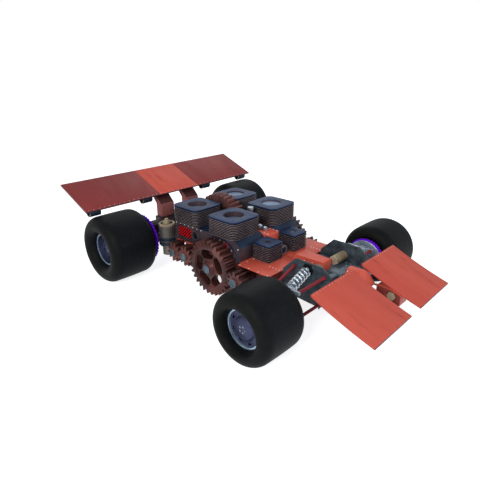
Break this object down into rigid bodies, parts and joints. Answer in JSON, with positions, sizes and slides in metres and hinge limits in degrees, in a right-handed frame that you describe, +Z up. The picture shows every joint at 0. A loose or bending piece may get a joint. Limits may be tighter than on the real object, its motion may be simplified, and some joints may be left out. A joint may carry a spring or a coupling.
{
  "type": "open wheel racing car",
  "caption": "Open wheel racing car with exposed block engine, meshing gear drives, flat panel wings and steered front wheels on wide slick tyres.",
  "frame": {"origin": "on the ground, midway along the car and on its centre line", "axes": "+X forward, +Y to the left, +Z up"},
  "size_m": [3.1264, 2.186, 0.8822],
  "materials": {
    "tyre_rubber": "smooth slick rubber",
    "rim_metal": "satin dark blue grey",
    "brake_disc": "satin purple",
    "cast_silver": "cast",
    "rod_red": "satin dark red",
    "spring_steel": "bright",
    "dark_plate": "satin",
    "grey_plate": "satin",
    "tan_metal": "satin tan",
    "body_orange": "satin orange red",
    "wing_coral": "satin coral red",
    "wing_dark_red": "satin dark red",
    "post_brown": "satin brown red",
    "tube_grey": "satin",
    "crankcase_iron": "cast",
    "cylinder_iron": "machined top, cast fins",
    "housing_brown": "satin",
    "fitting_steel": "satin",
    "shaft_steel": "satin",
    "gear_iron": "painted red brown",
    "canister_grey": "satin grey with tan caps",
    "axle_brown": "satin dark brown"
  },
  "bodies": {
    "chassis": {"carrier_left": "cast_silver", "carrier_right": "cast_silver", "suspension_rods": "rod_red", "coil_springs": "spring_steel", "bulkhead_left": "dark_plate", "bulkhead_right": "dark_plate", "front_floor": "grey_plate", "rack_housing": "grey_plate", "ribbed_cylinders": "tan_metal", "tub": "body_orange", "side_deck_left": "body_orange", "side_deck_right": "body_orange", "spine": "body_orange", "cowl": "body_orange", "nose_cone": "body_orange", "nose_plug": "tan_metal", "front_wing_left": "wing_coral", "front_wing_right": "wing_coral", "rear_wing_left": "wing_dark_red", "rear_wing_centre": "wing_coral", "rear_wing_right": "wing_dark_red", "wing_posts": "post_brown", "wing_brackets": "tube_grey", "crankcase_left": "crankcase_iron", "crankcase_right": "crankcase_iron", "cylinder_front_left": "cylinder_iron", "cylinder_front_right": "cylinder_iron", "cylinder_rear_left": "cylinder_iron", "cylinder_rear_right": "cylinder_iron", "small_cylinder_left": "cylinder_iron", "small_cylinder_right": "cylinder_iron", "starter_housing": "housing_brown", "spine_fittings": "fitting_steel", "gear_shafts": "shaft_steel", "canisters": "canister_grey", "rear_axle": "axle_brown"},
    "wheel_front_left": {"tyre_front_left": "tyre_rubber", "rim_front_left": "rim_metal", "disc_front_left": "brake_disc"},
    "wheel_front_right": {"tyre_front_right": "tyre_rubber", "rim_front_right": "rim_metal", "disc_front_right": "brake_disc"},
    "wheel_rear_left": {"tyre_rear_left": "tyre_rubber", "rim_rear_left": "rim_metal", "disc_rear_left": "brake_disc"},
    "wheel_rear_right": {"tyre_rear_right": "tyre_rubber", "rim_rear_right": "rim_metal", "disc_rear_right": "brake_disc"},
    "knuckle_left": {"knuckle_left": "cast_silver"},
    "knuckle_right": {"knuckle_right": "cast_silver"},
    "big_gear_left_drive": {"big_gear_left": "gear_iron"},
    "big_gear_right_drive": {"big_gear_right": "gear_iron"},
    "pinion_rear_left_drive": {"pinion_rear_left": "gear_iron"},
    "pinion_rear_right_drive": {"pinion_rear_right": "gear_iron"},
    "pinion_mid_left_drive": {"pinion_mid_left": "gear_iron"},
    "pinion_mid_right_drive": {"pinion_mid_right": "gear_iron"},
    "pinion_front_left_drive": {"pinion_front_left": "gear_iron"},
    "pinion_front_right_drive": {"pinion_front_right": "gear_iron"},
    "centre_gear_drive": {"centre_gear": "gear_iron"}
  },
  "joints": [
    {"name": "steer_left", "type": "hinge", "parent": "chassis", "child": "knuckle_left", "pos_m": [0.813, 0.57, 0.277], "axis": [0, 0, 1], "range_deg": [-20, 20]},
    {"name": "front_wheel_left_spin", "type": "hinge", "parent": "knuckle_left", "child": "wheel_front_left", "pos_m": [0.813, 0.868, 0.277], "axis": [0, 1, 0], "continuous": true},
    {"name": "rear_wheel_left_spin", "type": "hinge", "parent": "chassis", "child": "wheel_rear_left", "pos_m": [-1.026, 0.831, 0.323], "axis": [0, 1, 0], "continuous": true},
    {"name": "big_gear_left_spin", "type": "hinge", "parent": "chassis", "child": "big_gear_left_drive", "pos_m": [-0.05, 0.5, 0.288], "axis": [0, 1, 0], "continuous": true},
    {"name": "pinion_rear_left_spin", "type": "hinge", "parent": "chassis", "child": "pinion_rear_left_drive", "pos_m": [-0.53628, 0.5, 0.30196], "axis": [0, 1, 0], "continuous": true},
    {"name": "pinion_mid_left_spin", "type": "hinge", "parent": "chassis", "child": "pinion_mid_left_drive", "pos_m": [-0.37131, 0.5, 0.30484], "axis": [0, 1, 0], "continuous": true},
    {"name": "pinion_front_left_spin", "type": "hinge", "parent": "chassis", "child": "pinion_front_left_drive", "pos_m": [0.27067, 0.5, 0.26164], "axis": [0, 1, 0], "continuous": true},
    {"name": "steer_right", "type": "hinge", "parent": "chassis", "child": "knuckle_right", "pos_m": [0.813, -0.57, 0.277], "axis": [0, 0, 1], "range_deg": [-20, 20]},
    {"name": "front_wheel_right_spin", "type": "hinge", "parent": "knuckle_right", "child": "wheel_front_right", "pos_m": [0.813, -0.868, 0.277], "axis": [0, 1, 0], "continuous": true},
    {"name": "rear_wheel_right_spin", "type": "hinge", "parent": "chassis", "child": "wheel_rear_right", "pos_m": [-1.026, -0.831, 0.323], "axis": [0, 1, 0], "continuous": true},
    {"name": "big_gear_right_spin", "type": "hinge", "parent": "chassis", "child": "big_gear_right_drive", "pos_m": [-0.05, -0.5, 0.288], "axis": [0, 1, 0], "continuous": true},
    {"name": "pinion_rear_right_spin", "type": "hinge", "parent": "chassis", "child": "pinion_rear_right_drive", "pos_m": [-0.53628, -0.5, 0.30196], "axis": [0, 1, 0], "continuous": true},
    {"name": "pinion_mid_right_spin", "type": "hinge", "parent": "chassis", "child": "pinion_mid_right_drive", "pos_m": [-0.37131, -0.5, 0.30484], "axis": [0, 1, 0], "continuous": true},
    {"name": "pinion_front_right_spin", "type": "hinge", "parent": "chassis", "child": "pinion_front_right_drive", "pos_m": [0.27067, -0.5, 0.26164], "axis": [0, 1, 0], "continuous": true},
    {"name": "centre_gear_spin", "type": "hinge", "parent": "chassis", "child": "centre_gear_drive", "pos_m": [-0.44, 0, 0.45], "axis": [0, 1, 0], "continuous": true}
  ],
  "couplings": [
    {"joint": "steer_right", "follows": "steer_left", "ratio": 1},
    {"joint": "pinion_mid_left_spin", "follows": "big_gear_left_spin", "ratio": -2.9},
    {"joint": "pinion_front_left_spin", "follows": "big_gear_left_spin", "ratio": -2.9},
    {"joint": "pinion_rear_left_spin", "follows": "big_gear_left_spin", "ratio": 2.9},
    {"joint": "pinion_mid_right_spin", "follows": "big_gear_right_spin", "ratio": -2.9},
    {"joint": "pinion_front_right_spin", "follows": "big_gear_right_spin", "ratio": -2.9},
    {"joint": "pinion_rear_right_spin", "follows": "big_gear_right_spin", "ratio": 2.9}
  ]
}
